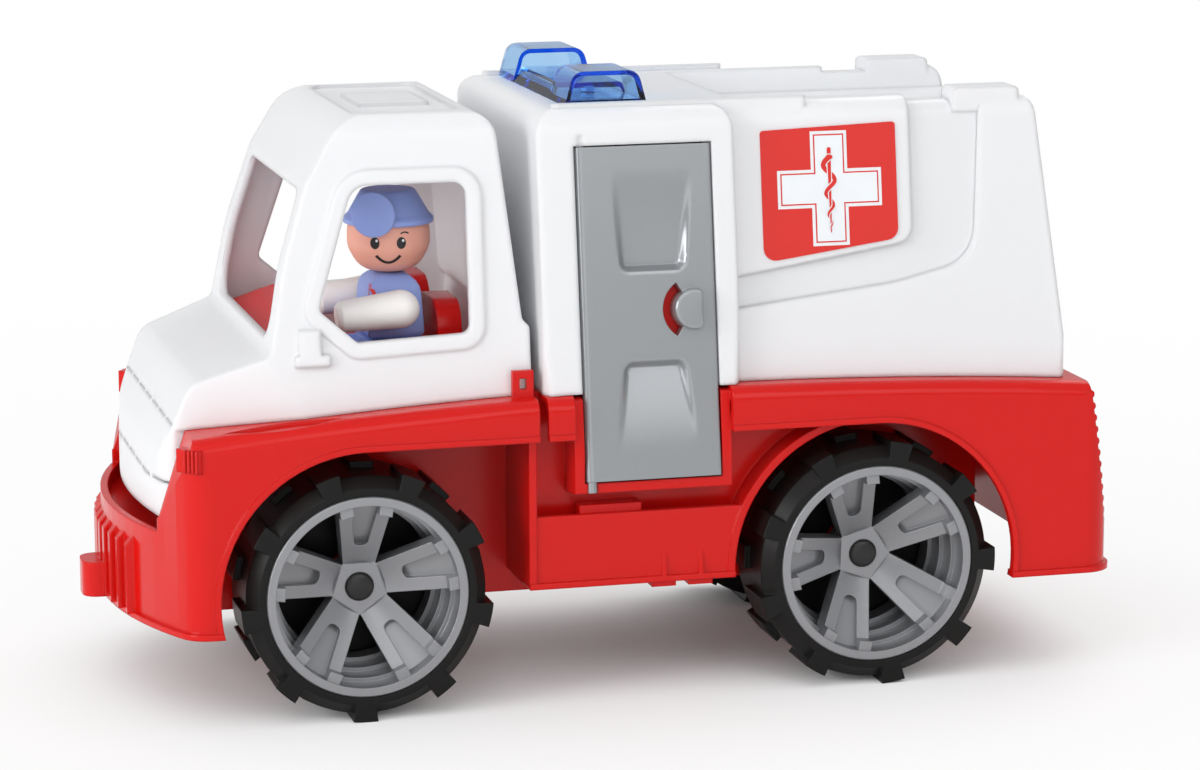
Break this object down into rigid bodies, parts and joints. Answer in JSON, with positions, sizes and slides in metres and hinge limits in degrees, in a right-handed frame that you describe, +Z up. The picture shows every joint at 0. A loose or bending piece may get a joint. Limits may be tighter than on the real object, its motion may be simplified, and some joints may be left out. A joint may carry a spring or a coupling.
{
  "type": "toy ambulance",
  "caption": "Toddler-size toy ambulance truck with open cab, seated driver, hinged side doors, rear hatch, roof lamps and rolling lugged wheels.",
  "frame": {"origin": "on the floor under the middle of the truck, halfway along and across it", "axes": "+X towards the tail, +Y to the truck's right, +Z up"},
  "size_m": [0.2937, 0.128, 0.1762],
  "materials": {
    "red_plastic": "gloss",
    "white_plastic": "gloss",
    "grey_plastic": "gloss",
    "blue_clear": "clear",
    "label_print": "satin",
    "steel": "plain",
    "tyre_black": "satin",
    "rim_silver": "satin",
    "cap_black": "gloss",
    "scrub_blue": "satin",
    "skin_tone": "satin",
    "cream_plastic": "satin"
  },
  "bodies": {
    "truck": {"chassis": "red_plastic", "cab_shell": "white_plastic", "cab_interior": "red_plastic", "box_body": "white_plastic", "patient_bench": "red_plastic", "light_bar": "blue_clear", "label_left": "label_print", "label_right": "label_print", "driver_torso": "scrub_blue", "driver_legs": "scrub_blue"},
    "front_wheels": {"axle_front": "steel", "tyre_front_left": "tyre_black", "tyre_front_right": "tyre_black", "rim_front_left": "rim_silver", "rim_front_right": "rim_silver", "hub_cap_front_left": "cap_black", "hub_cap_front_right": "cap_black"},
    "rear_wheels": {"axle_rear": "steel", "tyre_rear_left": "tyre_black", "tyre_rear_right": "tyre_black", "rim_rear_left": "rim_silver", "rim_rear_right": "rim_silver", "hub_cap_rear_left": "cap_black", "hub_cap_rear_right": "cap_black"},
    "door_left": {"side_door_left": "grey_plastic"},
    "door_right": {"side_door_right": "grey_plastic"},
    "hatch": {"rear_hatch": "grey_plastic"},
    "head": {"driver_head": "skin_tone", "driver_cap": "scrub_blue", "head_mirror": "scrub_blue"},
    "arm_left": {"driver_arm_left": "cream_plastic"},
    "arm_right": {"driver_arm_right": "cream_plastic"}
  },
  "joints": [
    {"name": "front_wheels_spin", "type": "hinge", "parent": "truck", "child": "front_wheels", "pos_m": [-0.07545, 0, 0.0355], "axis": [0, 1, 0], "continuous": true},
    {"name": "rear_wheels_spin", "type": "hinge", "parent": "truck", "child": "rear_wheels", "pos_m": [0.07205, 0, 0.0355], "axis": [0, 1, 0], "continuous": true},
    {"name": "left_door_swing", "type": "hinge", "parent": "truck", "child": "door_left", "pos_m": [-0.01145, -0.05752, 0.08875], "axis": [0, -0.1392, -0.9903], "range_deg": [0, 90]},
    {"name": "right_door_swing", "type": "hinge", "parent": "truck", "child": "door_right", "pos_m": [-0.01145, 0.05752, 0.08875], "axis": [0, -0.1392, 0.9903], "range_deg": [0, 90]},
    {"name": "hatch_lift", "type": "hinge", "parent": "truck", "child": "hatch", "pos_m": [0.12321, 0, 0.15229], "axis": [0, -1, 0], "range_deg": [0, 100]},
    {"name": "head_turn", "type": "hinge", "parent": "truck", "child": "head", "pos_m": [-0.06015, -0.021, 0.1194], "axis": [0, 0, 1], "range_deg": [-90, 90]},
    {"name": "left_arm_swing", "type": "hinge", "parent": "truck", "child": "arm_left", "pos_m": [-0.06015, -0.03625, 0.111], "axis": [0, 1, 0], "range_deg": [-25, 75]},
    {"name": "right_arm_swing", "type": "hinge", "parent": "truck", "child": "arm_right", "pos_m": [-0.06015, -0.00575, 0.111], "axis": [0, 1, 0], "range_deg": [-25, 75]}
  ]
}
